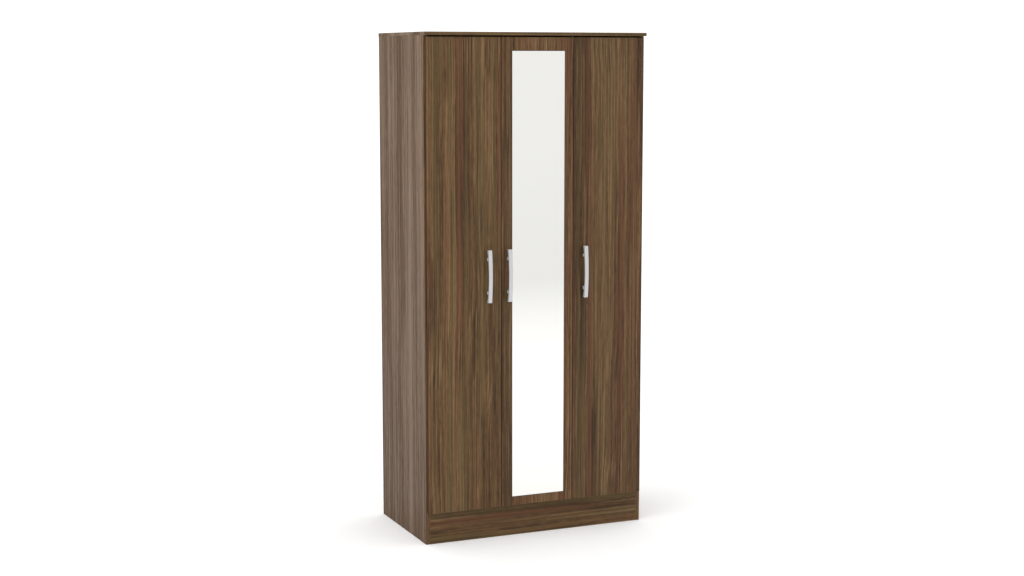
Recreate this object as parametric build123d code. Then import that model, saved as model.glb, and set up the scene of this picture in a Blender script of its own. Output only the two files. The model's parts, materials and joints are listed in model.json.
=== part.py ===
from build123d import *
import os

# Three-door wardrobe with a mirror on its centre door. Millimetres: +X to the right, +Y to the back, +Z up.
# The origin is on the floor, under the middle of the whole object, handles included.

# Boards
board = 16.0  # sides, partition, bottom, plinths and shelves
top_board = 13.0
door_board = 13.0
back_board = 3.0  # hardboard

# Carcass
height = 1970.0
carcass_width = 928.0  # over the side panels
carcass_depth = 503.0  # front edge to rear edge of a side panel
top_front_overhang = 22.8  # past the front edges of the side panels
top_side_overhang = 1.6
plinth_height = 122.6
rear_plinth_inset = 45.0
shelf_setback = 20.0  # shelf front edge behind the carcass front
back_inset = 8.0  # rear face of the back, in from the rear edge
groove_depth = 5.0
fit_play = 0.1  # between parts that just clear each other
back_play = 0.5  # between the edge of the back and the bottom of its groove
back_low_edge = 2.0  # lower edge of the back, up from the underside of the bottom panel
easing = 0.8  # rounding of a lipped board edge
top_easing = 1.6

# Doors, hung in front of the carcass
door_width = 303.2
door_gap = 2.7  # between two doors
door_standoff = 1.2  # between a door and the carcass
door_bottom = 123.3
door_top = 1951.4
hinges_per_door = 4
hinge_end_distance = 100.0  # from a door's end to its first hinge

# Mirror on the centre door
mirror_width = 222.7
mirror_bottom = 159.2
mirror_top = 1900.0
mirror_offset = 1.9  # its middle to the right of the door's middle, away from the handle
glass = 3.0
glass_bevel = 0.8
mirror_tape = 1.0
tape_width = 25.0
tape_spacing = 70.0

# Bow handle, with reaches measured out from the door
handle_length = 203.6
handle_hole_spacing = 128.0
handle_width = 14.8
handle_middle_front = 30.6
handle_end_front = 24.1
handle_middle_rear = 25.2
handle_end_rear = 9.8
handle_easing = 1.3
handle_height = 1039.2  # middle of the handle above the floor
post_width = 8.0
post_inner = 59.0  # inner side of a post, from the handle's middle
post_outer_foot = 69.0  # outer side, at the door
post_outer_root = 76.0  # outer side, at the bow
post_inner_reach = 22.0
post_outer_reach = 18.0
handle_inset = {"left": 54.2, "middle": 27.4, "right": 45.7}  # from the door's free edge
handle_bolt_grip = 9.0  # length of bolt inside a post

# Shelves, as the heights of their upper faces
hat_shelf_level = 1636.0
fixed_shelf_level = 886.0
loose_shelf_levels = {"lower_shelf": 514.0, "upper_shelf": 1258.0, "top_shelf": 1636.0}
loose_shelf_play = 0.5  # at each end of a shelf on pins
pin_radius = 2.5
pin_head_radius = 4.0
pin_sunk = 8.0
pin_reach = 8.0
pin_pitch = 32.0
pin_steps = (-2, -1, 0, 1, 2)
pin_setback = 57.0

# Hanging rail, an upright oval tube, and its sockets
rail_height = 30.0
rail_width = 15.0
rail_wall = 1.2
rail_drop = 65.0  # middle of the rail below the hat shelf's upper face
socket_plate = 2.5
socket_plate_height = 66.0
socket_plate_width = 24.0
socket_rim = 12.0
socket_wall = 2.0
socket_play = 0.2
socket_screw_offset = 25.0

# Knock-down fittings
cam_radius = 7.5
cam_depth = 12.0
cam_distance = 34.0  # from the board's end
cross_length = 10.0
cross_width = 2.0
cross_depth = 4.0
dowel_radius = 4.0
dowel_length = 30.0
dowel_offset = 32.0  # from its cam
cam_bolt_radius = 3.0
sunk = 8.0  # a bolt or dowel in the board that it meets
fitting_setback = 70.0  # cams from the front and rear edges

# Screws and nails
screw_radius = 2.0
screw_head_radius = 4.0
screw_head = 1.8
wall_screw_length = 12.0  # into a side panel or the partition
nail_radius = 0.9
nail_head_radius = 2.5
nail_head = 0.8
nail_length = 15.0
nail_count = 8
nail_end_distance = 40.0

# Back joining strip and corner blocks
strip_half_width = 9.0
strip_flange = 1.0
block_size = 18.0
block_low = 30.0

# Concealed hinge. Distances "in" are from the wall into the compartment, "deep" are behind the carcass front.
cup_radius = 17.5
cup_depth = 10.0
cup_edge_distance = 22.5  # middle of the cup from the door's hinge edge
cup_hollow_radius = 14.8
cup_floor = 1.0
flange_half_height = 30.0
flange_outer = 8.0  # from the cup's middle towards the hinge edge
flange_inner = 14.0
flange_corner = 5.0
cup_screw_offset = 24.0
cup_screw_in = 9.0
cup_screw_length = 10.5
cup_screw_head_radius = 3.5
cup_screw_head = 1.4
link_gap = 1.0  # between the floor of the cup and the link
link_half_height = 5.0
link_half_width = 3.0
link_tip = 9.0
link_deep = 1.5
link_thickness = 4.0
link_pin_radius = 1.6
link_pin_offset = 5.0
link_pin_half_length = 15.5
plate_thickness = 2.0
plate_front = 28.0
plate_rear = 46.0
plate_half_height = 27.0
plate_screw_offset = 20.0
rib_thickness = 7.0
rib_half_height = 5.5
rib_front = 12.0
rib_rear = 62.0
arm_low = 5.0
arm_high = 13.0
arm_wall = 1.5
arm_half_height = 7.5
arm_front = 2.5
arm_rear = 68.0
arm_corner = 2.0
nose_rear = 9.0
nose_root = 11.0
nose_tip = 19.0
arm_bolt_deep = 48.0
arm_bolt_top = 14.5
arm_bolt_head_radius = 3.2
arm_bolt_head = 2.9
arm_bolt_radius = 1.8
arm_bolt_length = 9.0

# Worked-out places
half_width = carcass_width / 2
inner_half = half_width - board
overall_depth = carcass_depth + door_standoff + door_board + handle_middle_front
back_y = overall_depth / 2
front_y = back_y - carcass_depth
door_back_y = front_y - door_standoff
door_face_y = door_back_y - door_board
underside = height - top_board
rear_plinth_rear_y = back_y - rear_plinth_inset
rear_plinth_front_y = rear_plinth_rear_y - board
floor_level = plinth_height + board  # upper face of the bottom panel
back_rear_y = back_y - back_inset
back_front_y = back_rear_y - back_board
inner_back_y = back_front_y - fit_play
shelf_front_y = front_y + shelf_setback
shelf_back_y = inner_back_y - strip_flange - fit_play
door_pitch = door_width + door_gap
partition_x = door_pitch / 2
partition_left = partition_x - board / 2
partition_right = partition_x + board / 2
rail_y = (front_y + inner_back_y) / 2
rail_level = hat_shelf_level - rail_drop
hinge_step = (door_top - door_bottom - 2 * hinge_end_distance) / (hinges_per_door - 1)
hinge_levels = [door_bottom + hinge_end_distance + i * hinge_step for i in range(hinges_per_door)]

# Each door: the X of its middle, the board its hinges are fixed to, the X of that board's face, and the way
# from that face into the compartment.
doors = {
    "left": (-door_pitch, "side_panel_left", -inner_half, 1),
    "middle": (0.0, "partition", partition_left, -1),
    "right": (door_pitch, "side_panel_right", inner_half, -1),
}

# What each board loses to its fittings, and the knock-down fittings themselves.
cuts = {}
cams = []
cam_bolts = []
dowels = []


def box(x0, x1, y0, y1, z0, z1):
    """A box between two values on each axis, given in either order."""
    middle = Pos((x0 + x1) / 2, (y0 + y1) / 2, (z0 + z1) / 2)
    return middle * Box(abs(x1 - x0), abs(y1 - y0), abs(z1 - z0))


def rod(start, direction, radius, length):
    """A cylinder from a start point along a direction."""
    plane = Plane(origin=start, z_dir=direction)
    return plane * Cylinder(radius, length, align=(Align.CENTER, Align.CENTER, Align.MIN))


def save(name, *pieces):
    """One STEP file for a node, from all the solids of its pieces."""
    solids = [solid for piece in pieces for solid in piece.solids()]
    shape = solids[0] if len(solids) == 1 else Compound(solids)
    export_step(shape, f"parts/{name}.step")


def cut(name, *tools):
    """Note what a board loses to a fitting."""
    cuts.setdefault(name, []).extend(tools)


def save_board(name, panel):
    """Save a board after its fittings have been cut from it."""
    for tool in cuts.get(name, []):
        panel -= tool
    save(name, panel)


def knock_down(board_name, mate_name, end, inward, opening):
    """A cam, its bolt and a dowel at a board's end. end is the middle of the board's thickness at the joint,
    inward points into the board and opening is the way that the cam's face looks."""
    end = Vector(*end)
    inward = Vector(*inward)
    opening = Vector(*opening)
    cam_start = end + inward * cam_distance + opening * (board / 2)
    cam_plane = Plane(origin=cam_start, z_dir=opening * -1)
    cam = rod(cam_start, opening * -1, cam_radius, cam_depth)
    cross = Box(cross_width, cross_length, cross_depth) + Box(cross_length, cross_width, cross_depth)
    bolt = rod(end - inward * sunk, inward, cam_bolt_radius, sunk + cam_distance) - cam
    dowel_start = end + Vector(0, dowel_offset, 0) - inward * sunk
    dowel = rod(dowel_start, inward, dowel_radius, dowel_length)
    cams.append(cam - cam_plane * cross)
    cam_bolts.append(bolt)
    dowels.append(dowel)
    cut(board_name, cam, bolt, dowel)
    cut(mate_name, bolt, dowel)


def carcass_joints():
    """The fittings between the carcass boards: the board with the cams, the board it meets, the place and
    the ways inward and out of the cam."""
    left = (-1, 0, 0)
    right = (1, 0, 0)
    down = (0, 0, -1)
    up = (0, 0, 1)
    bottom_z = plinth_height + board / 2
    hat_z = hat_shelf_level - board / 2
    fixed_z = fixed_shelf_level - board / 2
    side_x = inner_half + board / 2
    joints = [
        ("bottom_panel", "side_panel_left", -inner_half, bottom_z, right, down),
        ("bottom_panel", "side_panel_right", inner_half, bottom_z, left, down),
        ("hat_shelf", "side_panel_left", -inner_half, hat_z, right, down),
        ("hat_shelf", "partition", partition_left, hat_z, left, down),
        ("fixed_shelf", "partition", partition_right, fixed_z, right, down),
        ("fixed_shelf", "side_panel_right", inner_half, fixed_z, left, down),
        ("side_panel_left", "top_panel", -side_x, underside, down, right),
        ("side_panel_right", "top_panel", side_x, underside, down, left),
        ("partition", "top_panel", partition_x, underside, down, right),
        ("partition", "bottom_panel", partition_x, floor_level, up, right),
    ]
    for board_name, mate_name, x, z, inward, opening in joints:
        for y in (front_y + fitting_setback, back_y - fitting_setback - dowel_offset):
            knock_down(board_name, mate_name, (x, y, z), inward, opening)


def side_panel(side):
    """A full-height side panel with the groove for the back."""
    inside = side * inner_half
    panel = box(inside, side * half_width, front_y, back_y, 0, underside)
    front_edges = panel.edges().filter_by(Axis.Z).group_by(Axis.Y)[0]
    panel = fillet(front_edges, easing)
    groove_front = back_front_y - fit_play
    groove_rear = back_rear_y + fit_play
    return panel - box(inside, inside + side * groove_depth, groove_front, groove_rear, 0, underside)


def top_panel():
    """The top, which overhangs the doors and holds the upper edge of the back in a groove."""
    reach = half_width + top_side_overhang
    panel = box(-reach, reach, front_y - top_front_overhang, back_y, underside, height)
    panel = fillet(panel.edges(), top_easing)
    groove_half = inner_half + groove_depth
    groove_rear = back_rear_y + fit_play
    groove_top = underside + groove_depth
    return panel - box(-groove_half, groove_half, inner_back_y, groove_rear, underside, groove_top)


def shelf(x0, x1, level):
    """A shelf with an eased front edge."""
    panel = box(x0, x1, shelf_front_y, shelf_back_y, level - board, level)
    return fillet(panel.edges().filter_by(Axis.X).group_by(Axis.Y)[0], easing)


def back_nails():
    """Nails through the back into the rear edge of the bottom panel."""
    level = plinth_height + board / 2
    step = 2 * (inner_half - nail_end_distance) / (nail_count - 1)
    nails = []
    for i in range(nail_count):
        x = -inner_half + nail_end_distance + i * step
        head = rod((x, back_rear_y, level), (0, 1, 0), nail_head_radius, nail_head)
        shank = rod((x, back_rear_y, level), (0, -1, 0), nail_radius, nail_length)
        cut("bottom_panel", shank)
        cut("back_panel_left", shank)
        cut("back_panel_right", shank)
        nails.append(head + shank)
    return nails


def back_panels():
    """Two hardboard sheets, which meet behind the partition in a joining strip."""
    reach = inner_half + groove_depth - back_play
    low = plinth_height + back_low_edge
    high = underside + groove_depth - back_play
    web = strip_flange / 2
    left = box(-reach, partition_x - web, back_front_y, back_rear_y, low, high)
    right = box(partition_x + web, reach, back_front_y, back_rear_y, low, high)
    return left, right


def back_strip():
    """The plastic H strip between the two back sheets."""
    left = partition_x - strip_half_width
    right = partition_x + strip_half_width
    web = strip_flange / 2
    front_flange = box(left, right, back_front_y - strip_flange, back_front_y, floor_level, underside)
    rear_flange = box(left, right, back_rear_y, back_rear_y + strip_flange, floor_level, underside)
    middle = box(partition_x - web, partition_x + web, back_front_y, back_rear_y, floor_level, underside)
    return front_flange + rear_flange + middle


def corner_blocks():
    """Blocks that hold the plinths to the side panels."""
    blocks = []
    for side in (-1, 1):
        x = side * inner_half
        for y in (front_y + board, rear_plinth_front_y - block_size):
            blocks.append(box(x, x - side * block_size, y, y + block_size, block_low, plinth_height))
    return blocks


def shelf_pins():
    """Pins for the loose shelves, and the rows of holes around them in both walls."""
    pins = []
    walls = ((partition_right, "partition", 1), (inner_half, "side_panel_right", -1))
    for level in loose_shelf_levels.values():
        z = level - board - pin_head_radius
        for wall, name, way in walls:
            for y in (front_y + pin_setback, back_y - pin_setback):
                peg = rod((wall, y, z), (-way, 0, 0), pin_radius, pin_sunk)
                head = rod((wall, y, z), (way, 0, 0), pin_head_radius, pin_reach)
                pins.append(peg + head)
                for step in pin_steps:
                    cut(name, rod((wall, y, z + step * pin_pitch), (-way, 0, 0), pin_radius, pin_sunk))
    return pins


def oval(plane, long_side, short_side, length):
    """An upright oval bar from a plane."""
    return extrude(plane * SlotOverall(long_side, short_side), length)


def hanging_rail():
    """The oval tube, from socket plate to socket plate."""
    length = partition_left + inner_half - 2 * socket_plate
    plane = Plane(origin=(-inner_half + socket_plate, rail_y, rail_level), x_dir=(0, 0, 1), z_dir=(1, 0, 0))
    bore = oval(plane, rail_height - 2 * rail_wall, rail_width - 2 * rail_wall, length)
    return oval(plane, rail_height, rail_width, length) - bore


def rail_sockets():
    """A flanged socket at each end of the rail, and its two screws."""
    sockets = []
    screws = []
    rim = 2 * (socket_wall + socket_play)
    play = 2 * socket_play
    for wall, name, way in ((-inner_half, "side_panel_left", 1), (partition_left, "partition", -1)):
        plane = Plane(origin=(wall, rail_y, rail_level), x_dir=(0, 0, 1), z_dir=(way, 0, 0))
        socket = oval(plane, socket_plate_height, socket_plate_width, socket_plate)
        socket += oval(plane, rail_height + rim, rail_width + rim, socket_plate + socket_rim)
        socket -= oval(plane.offset(socket_plate), rail_height + play, rail_width + play, socket_rim)
        for offset in (-socket_screw_offset, socket_screw_offset):
            start = Vector(wall + way * socket_plate, rail_y, rail_level + offset)
            shank = rod(start, (-way, 0, 0), screw_radius, wall_screw_length)
            socket -= shank
            cut(name, shank)
            screws.append(shank + rod(start, (way, 0, 0), screw_head_radius, screw_head))
        sockets.append(socket)
    return sockets, screws


def handle(x):
    """A bow handle: a strip that thickens towards its ends, on two posts."""
    half = handle_length / 2

    def at(reach, z):
        return (door_face_y - reach, handle_height + z)

    side = Plane.YZ.offset(x - handle_width / 2)
    front = ThreePointArc(at(handle_end_front, -half), at(handle_middle_front, 0), at(handle_end_front, half))
    rear = ThreePointArc(at(handle_end_rear, half), at(handle_middle_rear, 0), at(handle_end_rear, -half))
    outline = Curve() + [front, Line(front @ 1, rear @ 0), rear, Line(rear @ 1, front @ 0)]
    bow = extrude(side * make_face(outline), handle_width)
    bow = fillet(bow.edges(), handle_easing)
    post_side = Plane.YZ.offset(x - post_width / 2)
    for way in (-1, 1):
        corners = [
            at(0, way * post_inner),
            at(post_inner_reach, way * post_inner),
            at(post_outer_reach, way * post_outer_root),
            at(0, way * post_outer_foot),
        ]
        bow += extrude(post_side * make_face(Polyline(*corners, close=True)), post_width)
    return bow


def handle_screws(x):
    """Two machine screws from behind the door into the handle's posts."""
    screws = []
    for way in (-1, 1):
        start = Vector(x, door_back_y, handle_height + way * handle_hole_spacing / 2)
        shank = rod(start, (0, -1, 0), screw_radius, door_board + handle_bolt_grip)
        screws.append(shank + rod(start, (0, 1, 0), screw_head_radius, screw_head))
    return screws


def hinge_cup(edge, way, z):
    """The half of a hinge on the door: its cup, its link with the pin, its two screws and the door's hole."""
    x = edge + way * cup_edge_distance
    seat = front_y - fit_play  # rear face of the flange
    hole = rod((x, door_back_y, z), (0, -1, 0), cup_radius, cup_depth)
    low = z - flange_half_height
    high = z + flange_half_height
    flange = box(x - way * flange_outer, x + way * flange_inner, door_back_y, seat, low, high)
    flange = fillet(flange.edges().filter_by(Axis.Y), flange_corner)
    hollow_depth = seat - door_back_y + cup_depth - cup_floor
    cup = hole + flange - rod((x, seat, z), (0, -1, 0), cup_hollow_radius, hollow_depth)

    link_front = door_back_y - cup_depth + cup_floor + link_gap
    z0 = z - link_half_height
    z1 = z + link_half_height
    pin_y = link_front + link_thickness / 2
    pin_start = (x + way * link_pin_offset, pin_y, z - link_pin_half_length)
    pin = rod(pin_start, (0, 0, 1), link_pin_radius, 2 * link_pin_half_length)
    near = x - way * link_half_width
    link = box(near, x + way * link_tip, link_front, link_front + link_thickness, z0, z1)
    link += box(near, x + way * link_half_width, link_front, front_y + link_deep, z0, z1)
    link += pin
    cup -= pin

    screws = []
    for offset in (-cup_screw_offset, cup_screw_offset):
        start = Vector(x + way * cup_screw_in, seat, z + offset)
        shank = rod(start, (0, -1, 0), screw_radius, cup_screw_length)
        cup -= shank
        screws.append(shank + rod(start, (0, 1, 0), cup_screw_head_radius, cup_screw_head))
    return cup, link, screws, hole


def hinge_arm(wall_name, wall, way, z):
    """The half of a hinge on the wall: its plate, its channel-shaped arm and its screws."""

    def block(in0, in1, deep0, deep1, half):
        return box(wall + way * in0, wall + way * in1, front_y + deep0, front_y + deep1, z - half, z + half)

    plate = block(0, plate_thickness, plate_front, plate_rear, plate_half_height)
    plate = fillet(plate.edges().filter_by(Axis.X), flange_corner)
    plate += block(0, rib_thickness, rib_front, rib_rear, rib_half_height)
    arm = block(arm_low, arm_high, arm_front, arm_rear, arm_half_height)
    outer = -1 if way > 0 else 0
    arm = fillet(arm.edges().filter_by(Axis.Y).group_by(Axis.X)[outer], arm_corner)
    arm -= block(0, arm_high - arm_wall, nose_rear, arm_rear + arm_wall, arm_half_height - arm_wall)
    arm += block(nose_root, nose_tip, arm_front, nose_rear, arm_half_height)
    bolt_start = Vector(wall + way * arm_bolt_top, front_y + arm_bolt_deep, z)
    bolt = rod(bolt_start, (-way, 0, 0), arm_bolt_head_radius, arm_bolt_head)
    bolt += rod(bolt_start, (-way, 0, 0), arm_bolt_radius, arm_bolt_length)
    arm -= bolt
    plate -= bolt
    screws = [bolt]
    screw_y = front_y + (plate_front + plate_rear) / 2
    for offset in (-plate_screw_offset, plate_screw_offset):
        start = Vector(wall + way * plate_thickness, screw_y, z + offset)
        shank = rod(start, (-way, 0, 0), screw_radius, wall_screw_length)
        plate -= shank
        cut(wall_name, shank)
        screws.append(shank + rod(start, (way, 0, 0), screw_head_radius, screw_head))
    return plate, arm, screws


def door_set(name):
    """A door with everything that is fixed to it, and the halves of its hinges that stay on the carcass."""
    middle, wall_name, wall, way = doors[name]
    half = door_width / 2
    hinge_edge = middle - way * half
    handle_x = middle + way * (half - handle_inset[name])
    panel = box(middle - half, middle + half, door_face_y, door_back_y, door_bottom, door_top)
    panel = fillet(panel.edges(), easing)
    groups = {"cups": [], "links": [], "cup_screws": [], "plates": [], "arms": [], "plate_screws": []}
    for z in hinge_levels:
        cup, link, cup_screws, hole = hinge_cup(hinge_edge, way, z)
        plate, arm, plate_screws = hinge_arm(wall_name, wall, way, z)
        groups["cups"].append(cup)
        groups["links"].append(link)
        groups["cup_screws"].extend(cup_screws)
        groups["plates"].append(plate)
        groups["arms"].append(arm)
        groups["plate_screws"].extend(plate_screws)
        panel -= hole
        for screw in cup_screws:
            panel -= screw
    grip = handle(handle_x)
    bolts = handle_screws(handle_x)
    for bolt in bolts:
        panel -= bolt
        grip -= bolt
    save(f"door_{name}", panel)
    save(f"handle_{name}", grip)
    save(f"handle_screws_{name}", *bolts)
    for group, pieces in groups.items():
        save(f"hinge_{group}_{name}", *pieces)


def mirror():
    """The bevelled glass and the strips of tape behind it."""
    half = mirror_width / 2
    tape_face_y = door_face_y - mirror_tape
    left = mirror_offset - half
    pane = box(left, left + mirror_width, tape_face_y - glass, tape_face_y, mirror_bottom, mirror_top)
    pane = chamfer(pane.faces().sort_by(Axis.Y)[0].edges(), glass_bevel)
    strips = []
    for i in (-1, 0, 1):
        x = mirror_offset + i * tape_spacing
        low = mirror_bottom + tape_width
        high = mirror_top - tape_width
        strips.append(box(x - tape_width / 2, x + tape_width / 2, tape_face_y, door_face_y, low, high))
    return pane, strips


os.makedirs("parts", exist_ok=True)
carcass_joints()
save("shelf_pins", *shelf_pins())
save("back_nails", *back_nails())
sockets, socket_screws = rail_sockets()
save("rail_sockets", *sockets)
save("rail_screws", *socket_screws)
save("hanging_rail", hanging_rail())
for door_name in doors:
    door_set(door_name)
pane, tape = mirror()
save("mirror", pane)
save("mirror_tape", *tape)

save_board("side_panel_left", side_panel(-1))
save_board("side_panel_right", side_panel(1))
save_board("top_panel", top_panel())
bottom = box(-inner_half, inner_half, front_y, inner_back_y, plinth_height, floor_level)
save_board("bottom_panel", bottom)
divider = box(partition_left, partition_right, front_y, shelf_back_y, floor_level, underside)
save_board("partition", divider)
save_board("hat_shelf", shelf(-inner_half, partition_left, hat_shelf_level))
save_board("fixed_shelf", shelf(partition_right, inner_half, fixed_shelf_level))
for shelf_name, level in loose_shelf_levels.items():
    save(shelf_name, shelf(partition_right + loose_shelf_play, inner_half - loose_shelf_play, level))
back_left, back_right = back_panels()
save_board("back_panel_left", back_left)
save_board("back_panel_right", back_right)
save("back_strip", back_strip())

save("plinth_front", box(-inner_half, inner_half, front_y, front_y + board, 0, plinth_height))
rear_plinth = box(-inner_half, inner_half, rear_plinth_front_y, rear_plinth_rear_y, 0, plinth_height)
save("plinth_rear", rear_plinth)
save("corner_blocks", *corner_blocks())
save("cam_locks", *cams)
save("cam_bolts", *cam_bolts)
save("dowels", *dowels)
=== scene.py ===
import bpy
import json
import math
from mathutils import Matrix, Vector

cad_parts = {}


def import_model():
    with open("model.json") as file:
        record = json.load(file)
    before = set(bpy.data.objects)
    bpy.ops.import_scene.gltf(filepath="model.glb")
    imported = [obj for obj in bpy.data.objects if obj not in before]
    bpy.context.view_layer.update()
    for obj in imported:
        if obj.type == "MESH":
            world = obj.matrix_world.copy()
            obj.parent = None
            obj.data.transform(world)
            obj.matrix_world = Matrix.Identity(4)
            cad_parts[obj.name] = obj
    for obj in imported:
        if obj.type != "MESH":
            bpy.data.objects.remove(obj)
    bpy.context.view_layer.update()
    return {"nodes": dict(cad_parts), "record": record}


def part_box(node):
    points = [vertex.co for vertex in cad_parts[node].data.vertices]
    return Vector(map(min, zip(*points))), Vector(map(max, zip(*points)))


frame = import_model()
nodes = frame["nodes"]

X, Y, Z = 0, 1, 2

# Camera, in metres and degrees
CAMERA_PLACE = (-2.73683, -6.31256, 1.87439)
CAMERA_YAW = 23.4187
CAMERA_PITCH = 7.6325
CAMERA_LENS = 60.509
SENSOR = 36.0
CAMERA_REACH = 100.0

# Lights: one large soft square from the left, and even white light from all round
KEY_PLACE = (-4.38, -2.85, 4.6)
KEY_TARGET = (0.0, -0.33, 0.98)
KEY_SIZE = 3.3
KEY_POWER = 50.3
SKY_STRENGTH = 1.16

# The stage is a floor, and a backdrop that rises gently from it in front of the wardrobe, behind
# the camera. Tones are pairs of height, in pattern units, and brightness.
FLOOR_Z = -0.0005
FLOOR_REAR = 80.0
FLOOR_TONES = ((0.0, 0.975), (1.0, 0.975))
BACKDROP_DISTANCE = 4.49
BACKDROP_RADIUS = 10.94
BACKDROP_TOP = 14.0
BACKDROP_STEPS = 60
# The backdrop starts darker than the floor and darkens upwards: painted shade, which the mirror
# shows.
BACKDROP_SHADE_TONES = ((0.0, 0.92), (0.02, 0.88), (0.08, 0.80), (0.14, 0.74), (1.0, 0.77))
SHEET_HALF_WIDTH = 60.0
SHEET_MOTTLE = (0.7, 0.7, 0.7, 1.0)
SHEET_MOTTLE_SCALE = (2.0, 2.0, 2.0)
SHEET_MOTTLE_SHARE = 0.01
SHEET_ROUGHNESS = 0.9

# Light that the stage gives off, so that the shadows on it stay pale
SHEET_GLOW = 0.06

# Boards that differ from the left door. tint lightens, darkens or colours a board, contrast sets
# its tones apart, hues is how far it strays to red and olive, its low shade setting paints shade on
# it, darker towards the floor, and coarseness widens its grain.
BOARD_LOOKS = {
    "door_middle": {"tint": (1.12, 1.08, 1.14), "hues": 0.7},
    # The right door's darker tint is painted shade, as the light from the left falls off.
    "door_right": {"tint": (0.90, 0.90, 0.91)},
    "plinth_front": {
        "tint": (1.06, 1.09, 1.11), "contrast": 0.75, "hues": 1.3, "coarseness": 1.7,
    },
    "plinth_rear": {"coarseness": 1.7},
    # The left side panel is darker towards the floor: painted shade, as the light from above falls
    # off.
    "side_panel_left": {
        "tint": (1.0, 0.98, 0.94), "contrast": 0.72, "hues": 0.45, "painted_low_shade": 0.32,
    },
}
UPRIGHT_BOARDS = ("door_", "side_panel_", "partition")

# The painted shade towards the floor runs between these heights, in metres
PAINTED_SHADE_BOTTOM = 0.1
PAINTED_SHADE_TOP = 1.7

# Edge wear shows within this distance of a board's edge, in metres
WEAR_REACH = 0.0024

# One unit of a pattern, in metres
PATTERN_SIZE = 1.0944

# The middle of a noise's range, and the span that most of it lies in
MIDDLE = 0.5
SPAN = (0.3, 0.7)

# Walnut. Each board takes its own part of the pattern: this step, times the board's number
BOARD_STEP = (1.37, 2.11, 0.73)

# Repeats per unit, across the grain and along it, of the noises that bend it, and how far they push
BEND_SCALE = (4.5, 1.3)
BEND_PUSH = 0.028
RIPPLE_SCALE = (14.0, 5.0)
RIPPLE_PUSH = 0.002

# Repeats per unit, across the grain and along it, of each layer
BANDS = (15.0, 0.35)
STREAKS = (85.0, 0.55)
FINE = (210.0, 1.5)
FLECKS = (170.0, 26.0)
PORES = (600.0, 30.0)
HUES = (24.0, 0.4)
FIGURE = (34.0, 0.45)
KNOTS = (26.0, 11.0)
RUB_SCALE = 60.0

# Each layer's share of the tone
BANDS_SHARE = 0.32
STREAKS_SHARE = 0.22
FINE_SHARE = 0.31
FLECKS_SHARE = 0.15

# How far from the middle each tone sits, and its colour
TONES = (
    (-0.11, (54, 36, 18)),
    (-0.05, (76, 54, 31)),
    (0.0, (92, 66, 39)),
    (0.05, (106, 80, 50)),
    (0.11, (126, 98, 65)),
)

# What is laid over the tones: the noise values between which it comes in, its strength at each, and
# its colour
RED_CAST = (0.50, 0.62, 0.0, 0.60, (96, 60, 38))
OLIVE_CAST = (0.50, 0.38, 0.0, 0.50, (90, 73, 43))
DARK_LINES = (0.33, 0.43, 0.42, 0.0, (46, 33, 21))
GLINTS = (0.56, 0.70, 0.0, 0.36, (122, 98, 68))
FIGURE_LINES = (0.0, 0.016, 0.34, 0.0, (48, 35, 22))
DARK_KNOTS = (0.81, 0.85, 0.0, 0.6, (30, 20, 14))
# The doors' side edges: dark edge banding, and painted shade from the gaps beside them
DOOR_EDGE_BAND_AND_SHADE = (0.6, 0.95, 0.0, 0.75, (52, 34, 22))
FIGURE_LEVEL = 0.46
PORE_RANGE = (0.30, 0.40, 0.30, 0.0)
PORE_COLOUR = (38, 27, 18)
WEAR_SHARE = 0.30
WEAR_COLOUR = (128, 104, 78)
# Colour of the painted shade towards the floor
PAINTED_SHADE_COLOUR = (60, 38, 20)

# Dark grain is rougher than pale grain
WALNUT_ROUGHNESS = (0.41, 0.59, 0.66, 0.38)
WALNUT_SPECULAR = 0.22
PORE_DEPTH = 1.5
WALNUT_RELIEF = (0.00012, 0.6)

# In all that follows a scale is a noise's repeats per unit, tones are pairs of noise value and
# colour, relief is the depth of the bump in metres and its strength, and roughness is that of a low
# and of a high noise.
FIBRE_SCALE = (300.0, 300.0, 190.0)
FIBRE_SHARE = 0.6
CLOUD_SCALE = (5.0, 5.0, 5.0)
CLOUD_SHARE = 0.4
HARDBOARD_TONES = ((0.35, (104, 80, 58)), (0.65, (138, 109, 80)))
HARDBOARD_RELIEF = (0.0002, 0.5)
HARDBOARD_ROUGHNESS = (0.85, 0.7)
HARDBOARD_SPECULAR = 0.3

BRUSH_SCALE = (2600.0, 2600.0, 30.0)
SMUDGE_SCALE = (40.0, 40.0, 25.0)
SMUDGE_SHARE = 0.08
SATIN_TONES = ((0.3, (184, 184, 186)), (0.7, (206, 206, 208)))
SATIN_RELIEF = (0.00003, 0.5)
SATIN_ROUGHNESS = (0.34, 0.44)
SATIN_METALLIC = 0.2

SILVER = (0.915, 0.91, 0.875, 1.0)
MIRROR_EDGE = (0.10, 0.13, 0.12, 1.0)
MIRROR_EDGE_ROUGHNESS = 0.12
HAZE_SCALE = (6.0, 6.0, 3.0)
HAZE_RANGE = (0.4, 0.8, 0.004, 0.02)

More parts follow.
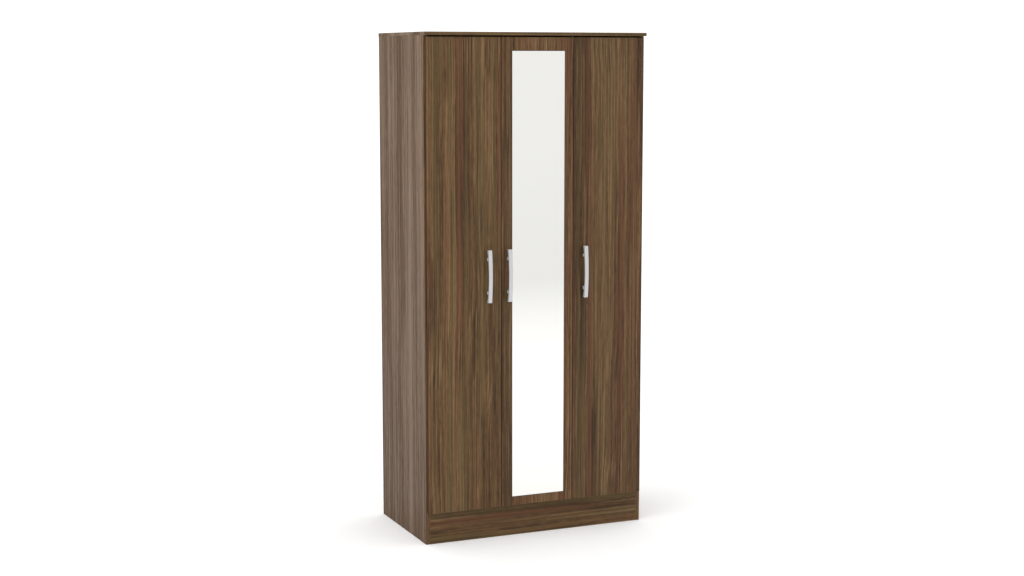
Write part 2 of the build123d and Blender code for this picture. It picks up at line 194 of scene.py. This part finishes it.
# Surfaces that are each one noise: plated metal with faint clouds, moulded plastic with a fine
# texture, and bare beech with short flecks
PLATED = {"scale": 90.0, "detail": 4.0, "relief": (0.00004, 0.3), "metallic": 1.0}
MOULDED = {"scale": 700.0, "detail": 2.0, "relief": (0.00005, 0.4), "roughness": (0.45, 0.6)}
PLAIN_SURFACES = {
    "chrome_plate": {
        **PLATED, "roughness": (0.05, 0.12),
        "tones": ((0.35, (222, 223, 226)), (0.65, (238, 238, 240))),
    },
    "plated_steel": {
        **PLATED, "roughness": (0.22, 0.38),
        "tones": ((0.35, (172, 172, 176)), (0.65, (202, 202, 204))),
    },
    "beech": {
        "scale": 240.0, "detail": 4.0, "relief": (0.0001, 0.5), "roughness": (0.75, 0.6),
        "tones": ((0.35, (176, 138, 96)), (0.65, (214, 178, 134))), "specular": 0.3,
    },
    "white_plastic": {**MOULDED, "tones": ((0.3, (212, 210, 204)), (0.7, (228, 226, 220)))},
    "brown_plastic": {**MOULDED, "tones": ((0.3, (66, 50, 38)), (0.7, (82, 63, 48)))},
    "foam_tape": {**MOULDED, "tones": ((0.3, (206, 206, 198)), (0.7, (224, 224, 216)))},
}


def camera():
    """The camera that the scene is seen through."""
    data = bpy.data.cameras.new("camera")
    data.lens = CAMERA_LENS
    data.sensor_width = SENSOR
    data.sensor_fit = "HORIZONTAL"
    data.clip_end = CAMERA_REACH
    holder = bpy.data.objects.new("camera", data)
    holder.location = CAMERA_PLACE
    holder.rotation_euler = (math.radians(90.0 - CAMERA_PITCH), 0.0, math.radians(-CAMERA_YAW))
    bpy.context.scene.collection.objects.link(holder)
    bpy.context.scene.camera = holder


def area_light(name, place, target, size, power):
    """A large soft square light that looks at a target."""
    data = bpy.data.lights.new(name, "AREA")
    data.size = size
    data.energy = power
    holder = bpy.data.objects.new(name, data)
    holder.location = place
    way = Vector(target) - Vector(place)
    holder.rotation_euler = way.to_track_quat("-Z", "Y").to_euler()
    bpy.context.scene.collection.objects.link(holder)


def srgb(r, g, b):
    """A linear colour from 0-255 display values."""
    out = []
    for value in (r, g, b):
        c = value / 255.0
        out.append(c / 12.92 if c <= 0.04045 else ((c + 0.055) / 1.055) ** 2.4)
    return tuple(out)


def paint(rgb):
    """The same with alpha, as a shader socket takes it."""
    return (*srgb(*rgb), 1.0)


def linear(tones):
    """Tones with their display colours made linear, as a ramp takes them."""
    return [(place, srgb(*rgb)) for place, rgb in tones]


class Graph:
    """A material's nodes, made and linked in short calls. metres is the place on the object, and
    place is the same in pattern units."""

    def __init__(self, name):
        self.material = bpy.data.materials.new(name)
        self.material.use_nodes = True
        self.tree = self.material.node_tree
        self.shader = self.tree.nodes["Principled BSDF"]
        self.metres = self.tree.nodes.new("ShaderNodeTexCoord").outputs["Object"]
        shrink = self.tree.nodes.new("ShaderNodeVectorMath")
        shrink.operation = "SCALE"
        shrink.inputs["Scale"].default_value = 1.0 / PATTERN_SIZE
        self.plug(shrink.inputs[0], self.metres)
        self.place = shrink.outputs[0]

    def plug(self, socket, value):
        """Link a socket to another, or set it to a number or colour."""
        if isinstance(value, bpy.types.NodeSocket):
            self.tree.links.new(value, socket)
        else:
            socket.default_value = value

    def math(self, operation, a, b=0.0, clamp=False):
        node = self.tree.nodes.new("ShaderNodeMath")
        node.operation = operation
        node.use_clamp = clamp
        self.plug(node.inputs[0], a)
        self.plug(node.inputs[1], b)
        return node.outputs[0]

    def axis(self, vector, number):
        """One coordinate of a vector."""
        split = self.tree.nodes.new("ShaderNodeSeparateXYZ")
        self.plug(split.inputs[0], vector)
        return split.outputs[number]

    def shifted(self, push, keep_axis):
        """The place, pushed along both axes but one."""
        way = [1.0] * 3
        way[keep_axis] = 0.0
        node = self.tree.nodes.new("ShaderNodeVectorMath")
        node.operation = "MULTIPLY_ADD"
        self.plug(node.inputs[0], push)
        node.inputs[1].default_value = way
        self.plug(node.inputs[2], self.place)
        return node.outputs[0]

    def scaled(self, scale, shift=(0.0, 0.0, 0.0), place=None):
        """A place, repeated scale times per unit along each axis."""
        node = self.tree.nodes.new("ShaderNodeMapping")
        node.inputs["Location"].default_value = shift
        node.inputs["Scale"].default_value = scale
        self.plug(node.inputs["Vector"], place or self.place)
        return node.outputs[0]

    def noise(self, vector, detail=3.0, roughness=0.5):
        node = self.tree.nodes.new("ShaderNodeTexNoise")
        node.inputs["Scale"].default_value = 1.0
        node.inputs["Detail"].default_value = detail
        node.inputs["Roughness"].default_value = roughness
        self.plug(node.inputs["Vector"], vector)
        return node.outputs["Fac"]

    def ramp(self, factor, stops):
        """Colours that follow a factor. stops are pairs of position and linear colour."""
        node = self.tree.nodes.new("ShaderNodeValToRGB")
        while len(node.color_ramp.elements) < len(stops):
            node.color_ramp.elements.new(0.5)
        for element, (position, colour) in zip(node.color_ramp.elements, stops):
            element.position = position
            element.color = (*colour, 1.0)
        self.plug(node.inputs[0], factor)
        return node.outputs[0]

    def mix(self, factor, a, b, blend="MIX"):
        """Colour b laid over colour a."""
        node = self.tree.nodes.new("ShaderNodeMix")
        node.data_type = "RGBA"
        node.blend_type = blend
        self.plug(node.inputs["Factor"], factor)
        colour_a, colour_b = (socket for socket in node.inputs if socket.type == "RGBA")
        self.plug(colour_a, a)
        self.plug(colour_b, b)
        return next(socket for socket in node.outputs if socket.type == "RGBA")

    def range(self, value, low, high, new_low, new_high):
        """A value between low and high, carried smoothly to between new_low and new_high."""
        node = self.tree.nodes.new("ShaderNodeMapRange")
        node.interpolation_type = "SMOOTHSTEP"
        self.plug(node.inputs["Value"], value)
        limits = {"From Min": low, "From Max": high, "To Min": new_low, "To Max": new_high}
        for key, number in limits.items():
            node.inputs[key].default_value = number
        return node.outputs[0]

    def overlay(self, colour, value, layer, share=1.0):
        """A layer laid over a colour where a value says. share scales its strength."""
        low, high, at_low, at_high, tone = layer
        strength = self.range(value, low, high, at_low * share, at_high * share)
        return self.mix(strength, colour, paint(tone))

    def bump(self, height, distance, strength):
        node = self.tree.nodes.new("ShaderNodeBump")
        node.inputs["Strength"].default_value = strength
        node.inputs["Distance"].default_value = distance
        self.plug(node.inputs["Height"], height)
        self.plug(self.shader.inputs["Normal"], node.outputs[0])

    def finish(self, colour, roughness, specular=0.5, metallic=0.0):
        """Set the shader and give back the material."""
        self.plug(self.shader.inputs["Base Color"], colour)
        self.plug(self.shader.inputs["Roughness"], roughness)
        self.shader.inputs["Specular IOR Level"].default_value = specular
        self.shader.inputs["Metallic"].default_value = metallic
        return self.material


def edge_mask(graph, node_name):
    """1 along the edges of a board and 0 on its faces: two axes near their limits make an edge."""
    low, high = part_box(node_name)
    total = None
    for axis in (X, Y, Z):
        coordinate = graph.axis(graph.metres, axis)
        from_low = graph.math("SUBTRACT", coordinate, low[axis])
        from_high = graph.math("SUBTRACT", high[axis], coordinate)
        nearest = graph.math("MINIMUM", from_low, from_high)
        near = graph.range(nearest, 0.0, WEAR_REACH, 1.0, 0.0)
        total = near if total is None else graph.math("ADD", total, near)
    return graph.math("SUBTRACT", total, 1.0, clamp=True)


def facing(graph, axis):
    """How far the surface looks along one axis, from 0 to 1."""
    normal = graph.tree.nodes.new("ShaderNodeTexCoord").outputs["Normal"]
    return graph.math("ABSOLUTE", graph.axis(normal, axis))


def grained(scale, grain_axis, coarseness=1.0):
    """A pair of repeats, across the grain and along it, as repeats on three axes."""
    across, along = scale
    repeats = [across / coarseness] * 3
    repeats[grain_axis] = along
    return repeats


def bent_grain(graph, grain_axis, shift):
    """The place, pushed sideways by two slow noises, more gently along the grain than across it."""
    bend = graph.noise(graph.scaled(grained(BEND_SCALE, grain_axis), shift), detail=2.0)
    ripple = graph.noise(graph.scaled(grained(RIPPLE_SCALE, grain_axis), shift), detail=1.0)
    far = graph.math("MULTIPLY", graph.math("SUBTRACT", bend, MIDDLE), BEND_PUSH)
    near = graph.math("MULTIPLY", graph.math("SUBTRACT", ripple, MIDDLE), RIPPLE_PUSH)
    return graph.shifted(graph.math("ADD", far, near), grain_axis)


def walnut(node_name, grain_axis, number, edge_band_and_gap_shade,
           coarseness=1.0, tint=None, contrast=1.0, hues=1.0, painted_low_shade=0.0):
    """Printed walnut foil: bands, wavy streaks, figure lines, pores, rare knots and worn edges."""
    graph = Graph("walnut_" + node_name)
    shift = tuple(number * step for step in BOARD_STEP)
    bent = bent_grain(graph, grain_axis, shift)

    def pattern(scale, detail=2.0, roughness=0.5):
        repeats = grained(scale, grain_axis, coarseness)
        return graph.noise(graph.scaled(repeats, shift, bent), detail, roughness)

    fine = pattern(FINE)
    broad = graph.math("ADD", graph.math("MULTIPLY", pattern(BANDS), BANDS_SHARE),
                       graph.math("MULTIPLY", pattern(STREAKS), STREAKS_SHARE))
    narrow = graph.math("ADD", graph.math("MULTIPLY", fine, FINE_SHARE),
                        graph.math("MULTIPLY", pattern(FLECKS), FLECKS_SHARE))
    tone = graph.math("ADD", broad, narrow)
    colour = graph.ramp(tone, [(MIDDLE + offset / contrast, srgb(*rgb)) for offset, rgb in TONES])

    hue = pattern(HUES)
    colour = graph.overlay(colour, hue, RED_CAST, hues)
    colour = graph.overlay(colour, hue, OLIVE_CAST, hues)
    colour = graph.overlay(colour, fine, DARK_LINES)
    colour = graph.overlay(colour, fine, GLINTS)
    figure = pattern(FIGURE, detail=1.0)
    ring = graph.math("ABSOLUTE", graph.math("SUBTRACT", figure, FIGURE_LEVEL))
    colour = graph.overlay(colour, ring, FIGURE_LINES)
    pore = graph.range(pattern(PORES, roughness=0.7), *PORE_RANGE)
    colour = graph.mix(pore, colour, paint(PORE_COLOUR))
    knots = graph.noise(graph.scaled(grained(KNOTS, grain_axis), shift), detail=1.0)
    colour = graph.overlay(colour, knots, DARK_KNOTS)
    # Doors: dark side edges, partly edge banding and partly painted shade from the gaps
    if edge_band_and_gap_shade:
        colour = graph.overlay(colour, facing(graph, X), DOOR_EDGE_BAND_AND_SHADE)

    patches = graph.noise(graph.scaled([RUB_SCALE] * 3, shift))
    rub = graph.math("MULTIPLY", edge_mask(graph, node_name), patches)
    colour = graph.mix(graph.math("MULTIPLY", rub, WEAR_SHARE), colour, paint(WEAR_COLOUR))
    # Painted shade: the board is darker towards the floor
    if painted_low_shade:
        painted_shade = graph.range(graph.axis(graph.metres, Z), PAINTED_SHADE_BOTTOM, PAINTED_SHADE_TOP, painted_low_shade, 0.0)
        colour = graph.mix(painted_shade, colour, paint(PAINTED_SHADE_COLOUR))
    if tint:
        colour = graph.mix(1.0, colour, (*tint, 1.0), "MULTIPLY")
    relief = graph.math("SUBTRACT", fine, graph.math("MULTIPLY", pore, PORE_DEPTH))
    graph.bump(relief, *WALNUT_RELIEF)
    return graph.finish(colour, graph.range(tone, *WALNUT_ROUGHNESS), specular=WALNUT_SPECULAR)


def hardboard():
    """Thin brown board, fibrous and matt."""
    graph = Graph("hardboard")
    fibre = graph.noise(graph.scaled(FIBRE_SCALE), detail=4.0)
    cloud = graph.noise(graph.scaled(CLOUD_SCALE))
    tone = graph.math("ADD", graph.math("MULTIPLY", fibre, FIBRE_SHARE),
                      graph.math("MULTIPLY", cloud, CLOUD_SHARE))
    colour = graph.ramp(tone, linear(HARDBOARD_TONES))
    graph.bump(fibre, *HARDBOARD_RELIEF)
    roughness = graph.range(fibre, *SPAN, *HARDBOARD_ROUGHNESS)
    return graph.finish(colour, roughness, specular=HARDBOARD_SPECULAR)


def satin_metal():
    """Pale satin coat on metal, brushed along its length and a little smudged."""
    graph = Graph("satin_metal")
    brush = graph.noise(graph.scaled(BRUSH_SCALE))
    smudge = graph.noise(graph.scaled(SMUDGE_SCALE), detail=2.0)
    colour = graph.ramp(brush, linear(SATIN_TONES))
    roughness = graph.math("ADD", graph.range(brush, *SPAN, *SATIN_ROUGHNESS),
                           graph.math("MULTIPLY", smudge, SMUDGE_SHARE))
    graph.bump(brush, *SATIN_RELIEF)
    return graph.finish(colour, roughness, metallic=SATIN_METALLIC)


def mirror_glass():
    """Silvered glass, clean in the middle and a little dull along its edges."""
    graph = Graph("mirror_glass")
    edge = edge_mask(graph, "mirror")
    haze = graph.noise(graph.scaled(HAZE_SCALE))
    colour = graph.mix(edge, SILVER, MIRROR_EDGE)
    roughness = graph.math("ADD", graph.math("MULTIPLY", edge, MIRROR_EDGE_ROUGHNESS),
                           graph.range(haze, *HAZE_RANGE))
    return graph.finish(colour, roughness, metallic=1.0)


def plain_surface(name, scale, detail, tones, relief, roughness, specular=0.5, metallic=0.0):
    """A surface of one noise, which sets its tone, relief and roughness."""
    graph = Graph(name)
    grain = graph.noise(graph.scaled([scale] * 3), detail=detail)
    graph.bump(grain, *relief)
    colour = graph.ramp(grain, linear(tones))
    return graph.finish(colour, graph.range(grain, *SPAN, *roughness), specular, metallic)


def dress():
    """Give every node its material, by its slot in the record. Each walnut board has its own."""
    shared = {
        "hardboard": hardboard(),
        "mirror_glass": mirror_glass(),
        "satin_metal": satin_metal(),
    }
    for name, looks in PLAIN_SURFACES.items():
        shared[name] = plain_surface(name, **looks)
    number = 0
    for entry in frame["record"]["subparts"]:
        name = entry["node"]
        slot = entry["material_slot"]
        if slot == "walnut_foil":
            number += 1
            grain_axis = Z if name.startswith(UPRIGHT_BOARDS) else X
            looks = BOARD_LOOKS.get(name, {})
            material = walnut(name, grain_axis, number, name.startswith("door_"), **looks)
        else:
            material = shared[slot]
        slots = nodes[name].data.materials
        slots.clear()
        slots.append(material)


def stage_sheet(name, rows, tones):
    """A wide pale sheet through rows of (y, z). tones go by height."""
    mesh = bpy.data.meshes.new(name)
    places = [(side * SHEET_HALF_WIDTH, y, z) for y, z in rows for side in (-1, 1)]
    faces = [(2 * i, 2 * i + 1, 2 * i + 3, 2 * i + 2) for i in range(len(rows) - 1)]
    mesh.from_pydata(places, [], faces)
    mesh.shade_smooth()
    obj = bpy.data.objects.new(name, mesh)
    bpy.context.scene.collection.objects.link(obj)
    graph = Graph(name)
    colour = graph.ramp(graph.axis(graph.place, Z), [(z, (tone,) * 3) for z, tone in tones])
    mottle = graph.noise(graph.scaled(SHEET_MOTTLE_SCALE), detail=2.0)
    share = graph.range(mottle, *SPAN, 0.0, SHEET_MOTTLE_SHARE)
    colour = graph.mix(share, colour, SHEET_MOTTLE)
    graph.shader.inputs["Emission Color"].default_value = (1.0, 1.0, 1.0, 1.0)
    graph.shader.inputs["Emission Strength"].default_value = SHEET_GLOW
    mesh.materials.append(graph.finish(colour, SHEET_ROUGHNESS, specular=0.0))


def stage():
    """A pale floor, and behind the camera a pale backdrop that curves up out of it."""
    stage_sheet("floor", ((-BACKDROP_DISTANCE, FLOOR_Z), (FLOOR_REAR, FLOOR_Z)), FLOOR_TONES)
    curve = []
    for i in range(BACKDROP_STEPS + 1):
        angle = math.pi / 2 * i / BACKDROP_STEPS
        y = -BACKDROP_DISTANCE - BACKDROP_RADIUS * math.sin(angle)
        curve.append((y, FLOOR_Z + BACKDROP_RADIUS * (1.0 - math.cos(angle))))
    curve.append((curve[-1][0], BACKDROP_TOP))
    stage_sheet("backdrop", curve, BACKDROP_SHADE_TONES)


def world():
    """Even white light from all round."""
    sky = bpy.data.worlds.new("world")
    bpy.context.scene.world = sky
    sky.use_nodes = True
    background = sky.node_tree.nodes["Background"]
    background.inputs["Color"].default_value = (1.0, 1.0, 1.0, 1.0)
    background.inputs["Strength"].default_value = SKY_STRENGTH


camera()
world()
area_light("key", KEY_PLACE, KEY_TARGET, KEY_SIZE, KEY_POWER)
stage()
dress()
bpy.context.scene.view_settings.view_transform = "Standard"
